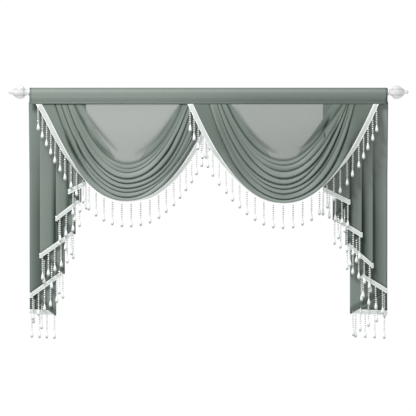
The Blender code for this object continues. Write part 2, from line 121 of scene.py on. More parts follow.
LEFT_CREASES = rows(Crease,
    (-535.5, 6, -470, 100, -385, 194, 8, 3, 0.45),
    (-490, 120, -455, 182, -400, 232, 13, 4, 0.62),
    (-500, 90, -445, 172, -365, 226, 8, -3, 0),
    (-609, 90, -570, 192, -500, 303, 11.5, 4, 1),
    (-565, 130, -540.5, 193, -504, 258, 7, 2.5, 1),
    (-552, 90, -506.5, 193, -445, 270, 6, 2, 0.97),
    (-560, 10, -527, 67, -489, 139, 5, 2, 0.9),
    (-141, 34, -212, 143, -300, 210, 12, 3.5, 0.3),
    (-128, 100, -161, 186, -205, 240, 6, 2, 0.85),
    (-430, 246, -340, 280, -250, 240, 7, 0, 0.3),
    (-430, 372, -340, 396, -250, 366, 9, 0, 0.3),
)
RIGHT_CREASES = rows(Crease,
    (115, 17, 190, 137, 290, 208, 12, 3.5, 0.55),
    (515, 46, 493, 88, 468, 126, 10, 4, 1),
    (482, 110, 487, 134, 482, 152, 5, 2, 0.95),
    (372, 193, 425, 160, 468, 110, 8, 3, 0.5),
    (551, 55, 518, 132, 470, 215, 6, 2.5, 0.98),
    (571, 50, 540, 138, 494, 228, 5.5, 2.5, 0.98),
    (598, 50, 574, 138, 535, 225, 5, 2.5, 0.92),
    (23, 60, 62, 160, 100, 232, 4.5, 1.5, 0.85),
    (55, 65, 98, 158, 145, 235, 4.5, 1.5, 0.85),
    (200, 222, 313.7, 275, 420, 226, 10, 0, 0.4),
    (200, 336, 313.7, 387, 420, 344, 7, 0, 0.42),
)

# One row for each swag: its middle along the rod, the depth of its back plane at the heading, how far
# it comes forward below, how far aside its hem is pulled, its drops along the hem, how far they lean,
# and how much the braid is drawn in where the other swag covers it. Then the painted shade of the
# window, the shares of the cloth's sides that are single, the painted shades of the rolls and the hem
# panel, and the seed of how its drops turn and sway.
Swag = namedtuple("Swag", "centre plane forward skew drops drop_first drop_pitch fringe_lean covered "
                  "window_fold window_left window_right shade_mid shade_left shade_right panel_shade "
                  "folds turns creases flat area seed")

LEFT_SWAG = Swag(
    centre=-335.0, plane=-10.4, forward=0.0, skew=-8.0, drops=30, drop_first=2.4, drop_pitch=39.1,
    fringe_lean=0.0, covered=1.15, window_fold=0.0, window_left=0.2, window_right=0.35, shade_mid=0.12,
    shade_left=0.3, shade_right=0.36, panel_shade=0.4, folds=LEFT_FOLDS, turns=LEFT_TURNS,
    creases=LEFT_CREASES, flat=(1.24, 0.5), area=0.26, seed=11)
RIGHT_SWAG = Swag(
    centre=313.7, plane=-12.4, forward=14.0, skew=0.0, drops=29, drop_first=11.0, drop_pitch=41.5,
    fringe_lean=0.2, covered=0.0, window_fold=0.1, window_left=0.35, window_right=0.25, shade_mid=0.16,
    shade_left=0.37, shade_right=0.43, panel_shade=0.54, folds=RIGHT_FOLDS, turns=RIGHT_TURNS,
    creases=RIGHT_CREASES, flat=(1.27, 0.52), area=0.29, seed=12)

# One row for each fold edge of a tail, from its inner front edge to its outer back edge: along the
# rod, down to the hem, the drops up to here and the first and last one's share of the way, and the
# painted shade of the layer up to here where it comes out from behind, over what reach, and more widely.
Pleat = namedtuple("Pleat", "along hem drops first last hollow reach broad",
                   defaults=(0, 20, 0))

LEFT_PLEATS = rows(Pleat,
    (-514.5, 372, 0, 0, 0),
    (-588.4, 407, 3, 0.02, 0.77),
    (-535.5, 442, 1, 0.5, 0.5),
    (-642.2, 520, 4, 0.06, 0.87, 0.5, 20, 0.2),
    (-560.7, 577, 3, 0.12, 0.8),
    (-711.2, 677, 6, 0.05, 0.95, 0.68, 26, 0.16),
    (-606.9, 745, 3, 0.14, 0.8),
    (-753.7, 845, 6, 0.05, 0.95, 0.05, 20, 0.42),
    (-644.7, 921, 2, 0.12, 0.45),
    (-757.4, 915, 4, 0.04, 0.91, 0.1, 20, 0),
)
RIGHT_PLEATS = rows(Pleat,
    (480.9, 397, 0, 0, 0),
    (593.5, 451, 5, 0.02, 0.96),
    (522.9, 518, 2, 0.29, 0.7),
    (646, 589, 5, 0.05, 0.94, 0.5, 18, 0.3),
    (577.5, 623, 2, 0.3, 0.75),
    (693.8, 719, 5, 0.05, 0.9, 0.6, 42, 0.15),
    (636.3, 757, 2, 0.16, 0.74),
    (754.2, 825, 4, 0.06, 0.86, 0.05, 24, 0.52),
    (598.5, 914, 5, 0.05, 0.94),
    (757, 921, 4, 0.14, 0.92, 0.1, 20, 0.1),
)

# Levels down from the rod, how far back a tail's front layer stands there and its layers' pitch.
TAIL_LEVELS = ((-SEAM, 0, 2), (350, 6, 5.2), (950, 7, 6))

# Of a tail, shade_top and shade are its painted shade at the heading and lower down.
Tail = namedtuple("Tail", "plane shade_top shade pleats flat area seed")
LEFT_TAIL = Tail(-8.6, 0.25, 0.25, LEFT_PLEATS, (0.92, 0.89), 0.61, 21)
RIGHT_TAIL = Tail(-10.6, 0.0, 0.19, RIGHT_PLEATS, (0.98, 0.89), 0.68, 22)


def between(start, end, share):
    return start + (end - start) * share


def ease(share):
    share = np.clip(share, 0.0, 1.0)
    return share * share * (3.0 - 2.0 * share)


def rise(value, start, span):
    """Goes smoothly from 0 at the start to 1 a span further on."""
    return ease((value - start) / span)


def fade(value, width):
    """Falls smoothly from 1 at zero towards 0 two widths away."""
    return np.exp(-(value / width) ** 2)


def read_table(rows, place):
    """The second column of a table at places in its first column, eased between rows."""
    keys, values = (np.array(column) for column in zip(*rows))
    index = np.clip(np.searchsorted(keys, place, side="left") - 1, 0, len(keys) - 2)
    return between(values[index], values[index + 1], rise(place, keys[index], keys[index + 1] - keys[index]))


def length_along(points, axis=0):
    """Length along lines of points up to each point."""
    steps = np.linalg.norm(np.diff(points, axis=axis), axis=-1)
    start = np.zeros_like(np.take(steps, [0], axis=axis))
    return np.concatenate([start, np.cumsum(steps, axis=axis)], axis=axis)


# Materials

class Nodes:
    """Adds and joins the nodes of a material or world. An input is a number, a colour, a vector or
    another node's output."""

    def __init__(self, owner):
        owner.use_nodes = True
        self.owner = owner
        self.tree = owner.node_tree

    def feed(self, node, inputs):
        for key, value in inputs.items():
            if isinstance(value, bpy.types.NodeSocket):
                self.tree.links.new(value, node.inputs[key])
            else:
                node.inputs[key].default_value = value

    def shader(self, **inputs):
        """Sets the shader's own inputs."""
        self.feed(self.tree.nodes["Principled BSDF"], {key.replace("_", " "): inputs[key] for key in inputs})

    def add(self, kind, inputs, **settings):
        node = self.tree.nodes.new(kind)
        for key, value in settings.items():
            setattr(node, key, value)
        self.feed(node, inputs)
        return node.outputs

    def place(self):
        return self.add("ShaderNodeTexCoord", {})["Object"]

    def attribute(self, name):
        return self.add("ShaderNodeAttribute", {}, attribute_name=name)["Fac"]

    def math(self, kind, *values):
        return self.add("ShaderNodeMath", dict(enumerate(values)), operation=kind)[0]

    def scaled(self, value, factor, start=0.0):
        return self.math("MULTIPLY_ADD", value, factor, start)

    def mix(self, share, first, second):
        colours = [(*value, 1.0) if isinstance(value, tuple) else value for value in (first, second)]
        return self.add("ShaderNodeMix", {0: share, 6: colours[0], 7: colours[1]}, data_type="RGBA")[2]

    def noise(self, vector, scale, detail=2.0, stretch=(1.0, 1.0, 1.0)):
        place = self.add("ShaderNodeMapping", {"Vector": vector, "Scale": stretch})[0]
        return self.add("ShaderNodeTexNoise", {"Vector": place, "Scale": scale, "Detail": detail})["Fac"]

    def bands(self, vector, scale, direction):
        return self.add("ShaderNodeTexWave", {"Vector": vector, "Scale": scale}, wave_type="BANDS",
                        bands_direction=direction)["Fac"]

    def bump(self, height, strength, distance):
        return self.add("ShaderNodeBump", {"Height": height, "Strength": strength, "Distance": distance})[0]


VOILE_OPEN = (0.178, 0.212, 0.192)  # a single layer, mostly seen through
VOILE_CLOSED = (0.263, 0.306, 0.279)  # many layers, given a lighter colour: painted light for the light they pass to each other
VOILE_PAINTED_SHADE = (0.008, 0.024, 0.013)  # painted shade in the creases, in hollows and on covered layers
WEAVE_SCALE = 420.0
SLUB_SCALE = 260.0  # uneven threads
SLUB_STRETCH = 0.06
SLUB_DEPTH = 0.12
SLUB_OPENING = 0.05
OPEN_FACE = 0.49  # how much one face stops of a single layer, and of many
CLOSED_FACE = 0.97


def voile_material():
    made = Nodes(bpy.data.materials.new("grey green voile"))
    uv = made.add("ShaderNodeUVMap", {}, uv_map="cloth")[0]
    across = made.noise(uv, SLUB_SCALE, 3.0, (1.0, SLUB_STRETCH, 1.0))
    down = made.noise(uv, SLUB_SCALE, 3.0, (SLUB_STRETCH, 1.0, 1.0))
    slub = made.scaled(made.math("ADD", across, down), 0.5)
    weave = made.math("ADD", made.bands(uv, WEAVE_SCALE, "X"), made.bands(uv, WEAVE_SCALE, "Y"))
    # The fold attribute is painted shade: it mixes the colour towards the shade colour and closes the cloth.
    fold = made.attribute("fold")
    solid = made.attribute("solid")
    # Closed cloth gets the lighter colour, painted light for the light its layers pass to each other.
    plain = made.mix(solid, VOILE_OPEN, VOILE_CLOSED)
    grained = made.mix(made.scaled(slub, SLUB_DEPTH), plain, (0.0, 0.0, 0.0))
    face = made.scaled(made.math("MAXIMUM", solid, fold), CLOSED_FACE - OPEN_FACE, OPEN_FACE)
    grain = made.scaled(slub, SLUB_OPENING, -0.5 * SLUB_OPENING)
    made.shader(Base_Color=made.mix(fold, grained, VOILE_PAINTED_SHADE), Alpha=made.math("ADD", face, grain),
                Roughness=made.scaled(slub, 0.2, 0.62), Specular_IOR_Level=0.15, Sheen_Weight=0.06,
                Sheen_Roughness=0.5, Normal=made.bump(made.scaled(slub, 2.0, weave), 0.12, 0.0003))
    return made.owner


FIBRE_SHARE = 0.7  # how much of the braid's colour comes from its fibres


def braid_material(name, light, dark, ply_scale):
    """White yarn, with a painted glow of its own that keeps it bright in shade."""
    made = Nodes(bpy.data.materials.new(name))
    place = made.place()
    fibre = made.noise(place, 900.0, 3.0)
    ply = made.scaled(made.noise(place, ply_scale), 1.0 - FIBRE_SHARE)
    colour = made.mix(made.scaled(fibre, FIBRE_SHARE, ply), dark, light)
    # Emission is a painted glow.
    made.shader(Base_Color=colour, Emission_Color=colour, Emission_Strength=0.8, Sheen_Weight=0.2,
                Sheen_Roughness=0.4, Roughness=made.scaled(fibre, 0.3, 0.45),
                Normal=made.bump(fibre, 0.4, 0.0003))
    return made.owner


def bead_material():
    made = Nodes(bpy.data.materials.new("clear white acrylic"))
    cloud = made.noise(made.place(), 160.0)
    clear = made.mix(cloud, (0.6, 0.625, 0.615), (0.72, 0.74, 0.73))
    # The attribute deepens the colour: greyer strings, and painted shade at the teardrop's lower end.
    colour = made.mix(made.attribute("bead_tone_and_shade"), clear, (0.12, 0.135, 0.13))
    # Emission is a painted glow that keeps the beads bright in shade.
    made.shader(Base_Color=colour, Emission_Color=colour, Emission_Strength=0.5, Transmission_Weight=0.1,
                IOR=1.49, Roughness=made.scaled(cloud, 0.1, 0.06), Coat_Weight=0.6, Coat_Roughness=0.04)
    return made.owner


BAND_SHIFT = 0.0015  # how far the two darker bands of a finial sit below its axis, in metres
BAND_AWAY = 0.0125
BAND_SLOPE = 150.0
BAND_DEPTH = 0.55


def crystal_material():
    made = Nodes(bpy.data.materials.new("clear cut acrylic"))
    place = made.place()
    cloud = made.noise(place, 60.0, 3.0)
    level = made.add("ShaderNodeSeparateXYZ", {0: place})["Z"]
    off_axis = made.math("ABSOLUTE", made.math("ADD", level, BAND_SHIFT))
    from_band = made.math("ABSOLUTE", made.math("SUBTRACT", off_axis, BAND_AWAY))
    band = made.math("MAXIMUM", made.scaled(from_band, -BAND_SLOPE, 1.0), 0.0)
    clear = made.mix(cloud, (0.36, 0.365, 0.365), (0.46, 0.465, 0.465))
    colour = made.mix(made.scaled(band, BAND_DEPTH), clear, (0.2, 0.205, 0.205))
    # Emission is a painted glow that keeps the finial light in shade.
    made.shader(Base_Color=colour, Emission_Color=colour, Emission_Strength=0.8, Transmission_Weight=0.2,
                IOR=1.49, Roughness=made.scaled(cloud, 0.12, 0.05), Coat_Weight=0.5, Coat_Roughness=0.05)
    return made.owner


def rod_material():
    made = Nodes(bpy.data.materials.new("satin white paint"))
    place = made.place()
    peel = made.noise(place, 700.0)
    made.shader(Base_Color=made.mix(made.noise(place, 12.0, 3.0), (0.76, 0.77, 0.77), (0.84, 0.85, 0.85)),
                Roughness=made.scaled(peel, 0.15, 0.25), Normal=made.bump(peel, 0.08, 0.0002))
    return made.owner


# Meshes

def add_object(name, data):
    made = bpy.data.objects.new(name, data)
    bpy.context.scene.collection.objects.link(made)
    return made


def joined_piece(name, parts, materials):
    """A piece from parts: points in metres, faces, and the number of a material for each face."""
    points, faces, slots = [], [], []
    for part_points, part_faces, part_slots in parts:
        faces += [[index + len(points) for index in face] for face in part_faces]
        points += part_points.tolist()
        slots += part_slots
    mesh = bpy.data.meshes.new(name)
    mesh.from_pydata(points, [], faces)
    for material in materials:
        mesh.materials.append(material)
    mesh.polygons.foreach_set("material_index", np.array(slots, dtype=np.int32))
    return add_object(name, mesh)


def write_values(mesh, name, values):
    attribute = mesh.attributes.new(name, "FLOAT", "POINT")
    attribute.data.foreach_set("value", values.ravel().astype(np.float32))


def deselect():
    bpy.ops.object.select_all(action="DESELECT")


def apply_modifiers(made):
    deselect()
    made.select_set(True)
    bpy.context.view_layer.objects.active = made
    for name in [modifier.name for modifier in made.modifiers]:
        bpy.ops.object.modifier_apply(modifier=name)


def voile_sheet(name, points, fold, solid, material):
    """A thin sheet of voile from a grid of points on its middle surface."""
    rows, columns = points.shape[:2]
    corner = np.arange(rows * columns).reshape(rows, columns)
    faces = np.stack([corner[:-1, :-1], corner[1:, :-1], corner[1:, 1:], corner[:-1, 1:]], axis=2)
    faces = faces.reshape(-1, 4)
    part = (points.reshape(-1, 3) * MM, faces.tolist(), [0] * len(faces))
    made = joined_piece(name, [part], [material])
    mesh = made.data
    down = length_along(points)
    across = length_along(points, axis=1)
    across -= across[:, columns // 2][:, None]
    flat = np.stack([across.ravel(), down.ravel()], axis=1) * MM
    corners = np.empty(len(mesh.loops), dtype=np.int32)
    mesh.loops.foreach_get("vertex_index", corners)
    layer = mesh.uv_layers.new(name="cloth")
    layer.data.foreach_set("uv", flat[corners].ravel())
    # fold is painted shade; solid is how closed the cloth is, which also lightens its colour.
    write_values(mesh, "fold", np.clip(fold, 0.0, 1.0))
    write_values(mesh, "solid", np.clip(solid, 0.0, 1.0))
    thick = made.modifiers.new("thickness", "SOLIDIFY")
    thick.thickness = VOILE * MM
    thick.offset = 0.0
    thick.use_even_offset = False
    apply_modifiers(made)
    made.data.shade_smooth()
    return made


# Swags. A place runs from -1 to +1 along a swag, and a rise is how far from the middle something
# starts to change, and over how much it does.

LEAN_BOW = 1.15
FORWARD_GROWTH = 60.0
BOW_MID = 2.0  # bend of the fold lines and of the hem in the middle
HEM_BOW_MID = 2.15
HEM_BOW_SPREAD = 3.0
# Where the painted shade of the creases, and of the rolls, goes over from the middle to the sides.
DARK_RISE = (0.22, 0.36)
SHADE_RISE = (0.25, 0.4)
DEPTH_RISE = (7.0 / 36.0, 5.0 / 9.0)
WIDTH_RISE = (0.0, 0.625)
CLOSED_RISE = (0.0, 10.0 / 17.0)
CLOSED_MID = 0.85
START_GROWTH = 18.0  # drops over which a roll gains its first depth, and all of it
START_SHARE = 0.25
ROLL_GROWTH = 120.0
ROLL_POWER = 1.1
CREASE_ABOVE = 4.6  # width of the painted shade above a crease, below it, and both at the swag's sides
CREASE_BELOW = 3.0
CREASE_SIDE = 3.2
FIRST_CREASE = 9.5  # the same above the first fold line, under the window
LEAST_REACH = 6.0
OVERHANG = 2.3  # how far a roll hangs over the line below it
MOST_OVERHANG = 1.2


def on_line(swag, fold, place):
    """Place along the rod and drop of the points of a fold line."""
    side = np.where(place < 0, fold.left, fold.right)
    bow_mid, spread = (HEM_BOW_MID, HEM_BOW_SPREAD) if fold is swag.folds[-1] else (BOW_MID, 1.0)
    bow = between(bow_mid, np.where(place < 0, fold.bow_left, fold.bow_right), np.abs(place) ** spread)
    drop = fold.drop * (1.0 - np.abs(place) ** bow)
    along = swag.centre + side * place + swag.skew * drop / swag.folds[-1].drop
    return np.stack([along, drop], axis=-1)


def in_front(swag, flat, depth=0.0):
    """Points in front of a swag's back plane, from their places along the rod and drops."""
    drop = np.maximum(flat[:, 1], 0.0)
    lean = SWAG_LEAN * (drop / swag.folds[-1].drop) ** LEAN_BOW
    back = swag.plane - lean - swag.forward * (1.0 - np.exp(-drop / FORWARD_GROWTH))
    return np.stack([flat[:, 0], back - depth, SEAM - flat[:, 1]], axis=1)


# Painted shade of a crease at places along its fold line.
def crease_strength(fold, place):
    side = np.where(place < 0, fold.dark_left, fold.dark_right)
    return between(fold.dark_mid, side, rise(np.abs(place), *DARK_RISE))


def roll_shade(swag, place):
    """Painted shade on the doubled cloth of a swag's rolls, away from their creases."""
    side = np.where(place < 0, swag.shade_left, swag.shade_right)
    return between(swag.shade_mid, side, rise(np.abs(place), *SHADE_RISE))


def growth(drop):
    """Share of its full depth that a roll has at a distance below the heading."""
    return between(ease(drop / ROLL_GROWTH), ease(drop / START_GROWTH), START_SHARE)


def roll_row(swag, upper, lower, place, share):
    """Points, painted shade and closeness of one row of a roll between two fold lines."""
    away = np.abs(place)
    first = on_line(swag, upper, place)
    second = on_line(swag, lower, place)
    width = np.linalg.norm(second - first, axis=1)
    side = np.where(place < 0, lower.roll_left, lower.roll_right)
    ratio = between(lower.roll_mid, side, rise(away, *DEPTH_RISE))
    droop = np.minimum(OVERHANG * ratio, MOST_OVERHANG) * growth(second[:, 1])
    along = share + droop * (1.0 - math.cos(2.0 * math.pi * share)) / (2.0 * math.pi)
    flat = first + (second - first) * along[:, None]
    depth = ratio * width * growth(flat[:, 1]) * math.sin(math.pi * share) ** ROLL_POWER
    wide = between(CREASE_ABOVE, CREASE_SIDE, rise(away, *WIDTH_RISE))
    if lower is swag.folds[1]:
        wide = FIRST_CREASE
    reach = np.maximum(width, LEAST_REACH)
    # Painted shade along the creases above and below, and over the rolls below the first.
    fold = crease_strength(lower, place) * fade((1.0 - share) * reach, wide)
    fold = np.maximum(fold, crease_strength(upper, place) * fade(share * reach, CREASE_BELOW))
    if lower is not swag.folds[1]:
        fold += roll_shade(swag, place) * (1.0 - fold)
    return in_front(swag, flat, depth), fold, between(CLOSED_MID, 1.0, rise(away, *CLOSED_RISE))


HEM_STEP = 0.004
HEM_BACK = 6.0  # how far back and up a hem comes that turns under
HEM_UP = 3.0
HEM_UNDER = 1.3  # radians of turn past which the last roll is full
HEM_BULGE_FLAT = 3.0  # depth of the last roll where the hem hangs flat and where it turns under
HEM_BULGE_ROLLED = 11.0
HEM_LAST = 8.0
# Points on the last roll: shares of its width, hanging flat and turned under, and of its depth.
HEM_BULGES = ((0.0, 0.0, 0.0), (0.25, 0.5, 0.95), (0.5, 0.94, 1.0))
HEM_BEHIND = 20.8  # how far the cloth runs on behind the braid that is sewn on its face
HEM_BEHIND_ROWS = 3


def hem_frames(swag, place):
    """Hem edge of a swag, the way the braid leaves it, and the way the braid faces."""
    hem = swag.folds[-1]
    run = (on_line(swag, hem, np.minimum(place + HEM_STEP, 1.0))
           - on_line(swag, hem, np.maximum(place - HEM_STEP, -1.0)))
    run /= np.linalg.norm(run, axis=1)[:, None]
    out = np.stack([-run[:, 1], np.zeros(len(place)), -run[:, 0]], axis=1)
    turn = np.radians(read_table(swag.turns, place))[:, None]
    back = np.array([0.0, 1.0, 0.0])
    leave = out * np.cos(turn) + back * np.sin(turn)
    face = out * np.sin(turn) - back * np.cos(turn)
    edge = in_front(swag, on_line(swag, hem, place))
    edge += (back * HEM_BACK - out * HEM_UP) * np.sin(turn)
    return edge, leave, face


def turned_under(swag, place):
    return ease(np.radians(read_table(swag.turns, place)) / HEM_UNDER)


def through(points, at):
    """A smooth curve from the second of a list of points to the last but one, at a share of its way."""
    spans = len(points) - 3
    index = min(int(at * spans), spans - 1)
    t = at * spans - index
    a, b, c, d = points[index:index + 4]
    return 0.5 * (2.0 * b + (c - a) * t + (2.0 * a - 5.0 * b + 4.0 * c - d) * t * t
                  + (3.0 * b - a - 3.0 * c + d) * t ** 3)


def hem_rows(swag, place, shares):
    """Rows of points of the last roll, from its upper fold line to the hem."""
    edge, leave, face = hem_frames(swag, place)
    first = on_line(swag, swag.folds[-2], place)
    last = on_line(swag, swag.folds[-1], place)
    under = turned_under(swag, place)
    controls = []
    for flat_share, rolled_share, bulge in HEM_BULGES:
        flat = first + (last - first) * between(flat_share, rolled_share, under)[:, None]
        depth = between(HEM_BULGE_FLAT, HEM_BULGE_ROLLED, under) * bulge * ease(flat[:, 1] / ROLL_GROWTH)
        controls.append(in_front(swag, flat, depth))
    controls.insert(0, controls[0] * 2.0 - controls[1])
    controls += [edge - leave * HEM_LAST, edge, edge + leave * HEM_LAST]
    return [through(controls, share) for share in shares]


CREASE_STEPS = 33
CREASE_END = 0.06
CREASE_POWER = 0.7


def press_creases(swag, points, fold):
    """Presses the soft creases of a swag into its grid of points, and paints their shade."""
    flat = np.stack([points[..., 0], SEAM - points[..., 2]], axis=-1)[..., None]
    t = np.linspace(0.0, 1.0, CREASE_STEPS)
    first, middle, last = (1.0 - t) * (1.0 - 2.0 * t), 4.0 * t * (1.0 - t), t * (2.0 * t - 1.0)
    for crease in swag.creases:
        along = first * crease.along1 + middle * crease.along2 + last * crease.along3
        drop = first * crease.drop1 + middle * crease.drop2 + last * crease.drop3
        away = np.hypot(flat[..., 0, :] - along, flat[..., 1, :] - drop)
        where = t[away.argmin(axis=-1)]
        length = np.sin(math.pi * between(CREASE_END, 1.0 - CREASE_END, where)) ** CREASE_POWER
        shape = fade(away.min(axis=-1), crease.width) * length
        points[..., 1] += crease.depth * shape
        fold[:] = np.maximum(fold, crease.dark * shape)


SWAG_COLUMNS = 200
ROLL_ROWS = (0.0, 0.03, 0.07, 0.13, 0.21, 0.31, 0.42, 0.53, 0.63, 0.72, 0.8, 0.87, 0.93, 0.97)
WINDOW_ROWS = 26
WINDOW_CROWDING = 1.6
HEM_ROWS = 14
WINDOW_SHADE = 0.35  # painted shade just above the first roll
WINDOW_SHADE_RISE = (0.93, 0.07)
WINDOW_SHADE_DROP = 200.0
WINDOW_LOW = 0.965  # share of the first roll's width where the window ends in the middle
WINDOW_RISE = (0.13, 0.24)
DOUBLED_MID = 0.84
DOUBLED_POWER = 2.4
WINDOW_SOFT = 0.05  # over how much the single layer ends
WINDOW_SOFT_MID = 0.1
WINDOW_SOFT_WIDTH = 0.36
HEM_CREASE = 0.12
HEM_SHADE = 0.25  # least painted shade of the hem panel
HEM_SHADE_SPAN = 0.4
# Painted shade at the lower edge where the hem turns under, and where it starts to deepen.
HEM_EDGE_SHADE = 0.55
HEM_EDGE_RISE = (0.5, 0.4)
PANEL_RISE = (0.35, 0.45)
TUCK_ASIDE = 2.0
TUCK_CORNER = 0.05


def window_edge(swag, place):
    """Share of the first roll's width down to which a swag is a single layer."""
    away = np.abs(place)
    doubled = np.where(place < 0, swag.window_left, swag.window_right)
    edge = between(DOUBLED_MID, doubled, away ** DOUBLED_POWER)
    return between(WINDOW_LOW, edge, rise(away, *WINDOW_RISE))


def window_row(swag, place, share):
    """Points, painted shade and closeness of one row above the first fold line, where the window is."""
    upper, lower = swag.folds[:2]
    points, fold, solid = roll_row(swag, upper, lower, place, share)
    soft = WINDOW_SHADE * rise(share, *WINDOW_SHADE_RISE) * ease(share * lower.drop / WINDOW_SHADE_DROP)
    fold = np.maximum(np.maximum(fold, soft), swag.window_fold)
    soft_end = WINDOW_SOFT + WINDOW_SOFT_MID * fade(place, WINDOW_SOFT_WIDTH)
    doubled = ease((share - window_edge(swag, place)) / soft_end)
    return points, fold + roll_shade(swag, place) * doubled * (1.0 - fold), solid * doubled


def hem_shade(swag, place, share):
    """Painted shade of the last roll at a share of the way down to the hem."""
    near = crease_strength(swag.folds[-2], place) * fade(share, HEM_CREASE)
    plain = np.maximum(roll_shade(swag, place), HEM_SHADE * ease(share / HEM_SHADE_SPAN))
    panel = swag.panel_shade * rise(np.abs(place), *PANEL_RISE)
    edge = HEM_EDGE_SHADE * turned_under(swag, place) * rise(share, *HEM_EDGE_RISE)
    return np.max([near, plain, panel, edge], axis=0)


def swag_grid(swag):
    """Points, painted shade and closeness of a swag, from inside the heading to its hem."""
    place = np.linspace(-1.0, 1.0, SWAG_COLUMNS + 1)
    shares = 1.0 - np.linspace(1.0, 0.0, WINDOW_ROWS, endpoint=False) ** WINDOW_CROWDING
    rows = [window_row(swag, place, float(share)) for share in shares]
    for upper, lower in zip(swag.folds[1:-2], swag.folds[2:-1]):
        rows += [roll_row(swag, upper, lower, place, share) for share in ROLL_ROWS]
    shares = [number / (HEM_ROWS - 1) for number in range(HEM_ROWS)]
    closed = np.ones(len(place))
    for share, row in zip(shares, hem_rows(swag, place, shares)):
        rows.append((row, hem_shade(swag, place, share), closed))
    edge, leave, face = hem_frames(swag, place)
    for number in range(HEM_BEHIND_ROWS):
        behind = edge + leave * HEM_BEHIND * (number + 1.0) / HEM_BEHIND_ROWS
        rows.append((behind, rows[-1][1], closed))
    points, fold, solid = (np.array(column) for column in zip(*rows))
    press_creases(swag, points, fold)
    up = np.array([0.0, 0.0, TUCK])
    aside = np.array([TUCK_ASIDE, 0.0, 0.0])
    points = np.concatenate([points[:, :1] + up - aside, points, points[:, -1:] + up + aside], axis=1)
    caught = points[:1] + up
    for corner, outward in ((0, -1), (-1, 1)):
        caught[0, corner] = points[0, corner] + up * TUCK_CORNER
        caught[0, corner - outward] -= aside * outward
    points = np.concatenate([caught, points], axis=0)
    return points, np.pad(fold, ((1, 0), (1, 1)), mode="edge"), np.pad(solid, ((1, 0), (1, 1)), mode="edge")


# Tails

HOLLOW_SHADE = 0.74  # painted shade in the hollow where the cloth turns back behind a fold
COVERED_SHADE = 0.22  # painted shade of the cloth further in, behind the layers in front
HOLLOW_REACH = 75.0
BROAD_REACH = 66.0
SHADE_TOP = 0.12  # share of the painted shades between layers that is left at the heading
SHADE_FROM = 90.0  # how far below the rod they start to deepen, and over what distance
SHADE_SPAN = 480.0
RETURN_SHADE = 0.45  # painted shade of the cloth behind the braid
RUN_STEP = 6.0
RUN_STEPS_LEAST = 4
EDGE_STEPS = 6
TAIL_UPPER = 14  # rows above and below the middle level
TAIL_LOWER = 34

# One layer between two fold edges, where way is +1 to the right and reach is how far out the layers
# in front of it go, and the places on a tail's section, where edge is how much a bend draws them in.
Layer = namedtuple("Layer", "number before here way last start end reach")
Stop = namedtuple("Stop", "along layer hem edge fold")


def outward_of(tail):
    return math.copysign(1.0, tail.pleats[-1].along)


def level_at(down):
    downs, backs, pitches = zip(*TAIL_LEVELS)
    return np.interp(down, downs, backs), np.interp(down, downs, pitches)


def tail_layers(tail):
    """The layers of a tail, from its inner front edge to its outer back edge."""
    found = []
    reach = tail.pleats[0].along
    for number, (before, here) in enumerate(zip(tail.pleats, tail.pleats[1:])):
        way = math.copysign(1.0, here.along - before.along)
        last = here is tail.pleats[-1]
        start = before.along + (way * 0.5 * level_at(before.hem)[1] if number else 0.0)
        end = here.along - (0.0 if last else way * 0.5 * level_at(here.hem)[1])
        found.append(Layer(number, before, here, way, last, start, end, reach))
        if outward_of(tail) * here.along > outward_of(tail) * reach:
            reach = here.along
    return found


def layer_shade(tail, layer, along):
    """How much more painted shade than the plain tail a layer has at a place along the rod."""
    beyond = outward_of(tail) * (along - layer.reach)
    if layer.number == 0:
        return 0.0
    if beyond < 0.0:
        return between(HOLLOW_SHADE, COVERED_SHADE, float(ease(-beyond / HOLLOW_REACH))) - tail.shade
    near = layer.here.hollow * (1.0 - float(ease(beyond / layer.here.reach)))
    return near + layer.here.broad * (1.0 - float(ease(beyond / BROAD_REACH)))


def tail_stops(tail):
    """The places along a tail's section, from its inner front edge to its outer back edge."""
    found = []
    for layer in tail_layers(tail):
        here = layer.here
        steps = max(RUN_STEPS_LEAST, int(abs(layer.end - layer.start) / RUN_STEP))
        for number in range(steps + 1):
            share = number / steps
            along = between(layer.start, layer.end, share)
            hem = between(layer.before.hem, here.hem, share)
            edge = layer.way if number == steps and not layer.last else 0.0
            found.append(Stop(along, layer.number, hem, edge, layer_shade(tail, layer, along)))
        for number in range(1, 0 if layer.last else EDGE_STEPS):
            angle = math.pi * number / EDGE_STEPS
            found.append(Stop(here.along, layer.number + 0.5 * (1.0 - math.cos(angle)), here.hem,
                              layer.way * (1.0 - math.sin(angle)), layer_shade(tail, layer, here.along)))
    return Stop(*np.array(found).T)


def drop_stops(tail):
    """The places along a tail's hem where its drops hang."""
    found = []
    for layer in tail_layers(tail):
        here = layer.here
        for number in range(here.drops):
            share = between(here.first, here.last, number / max(here.drops - 1, 1))
            hem = between(layer.before.hem, here.hem, share)
            found.append(Stop(between(layer.start, layer.end, share), layer.number, hem, 0.0, 0.0))
    return Stop(*np.array(found).T)


def tail_points(tail, stops, down):
    """Points of a tail's section, each at its own distance below the rod's axis."""
    back, pitch = level_at(down)
    along = stops.along - stops.edge * 0.5 * pitch
    return np.stack([along, tail.plane + back + stops.layer * pitch, -down], axis=1)


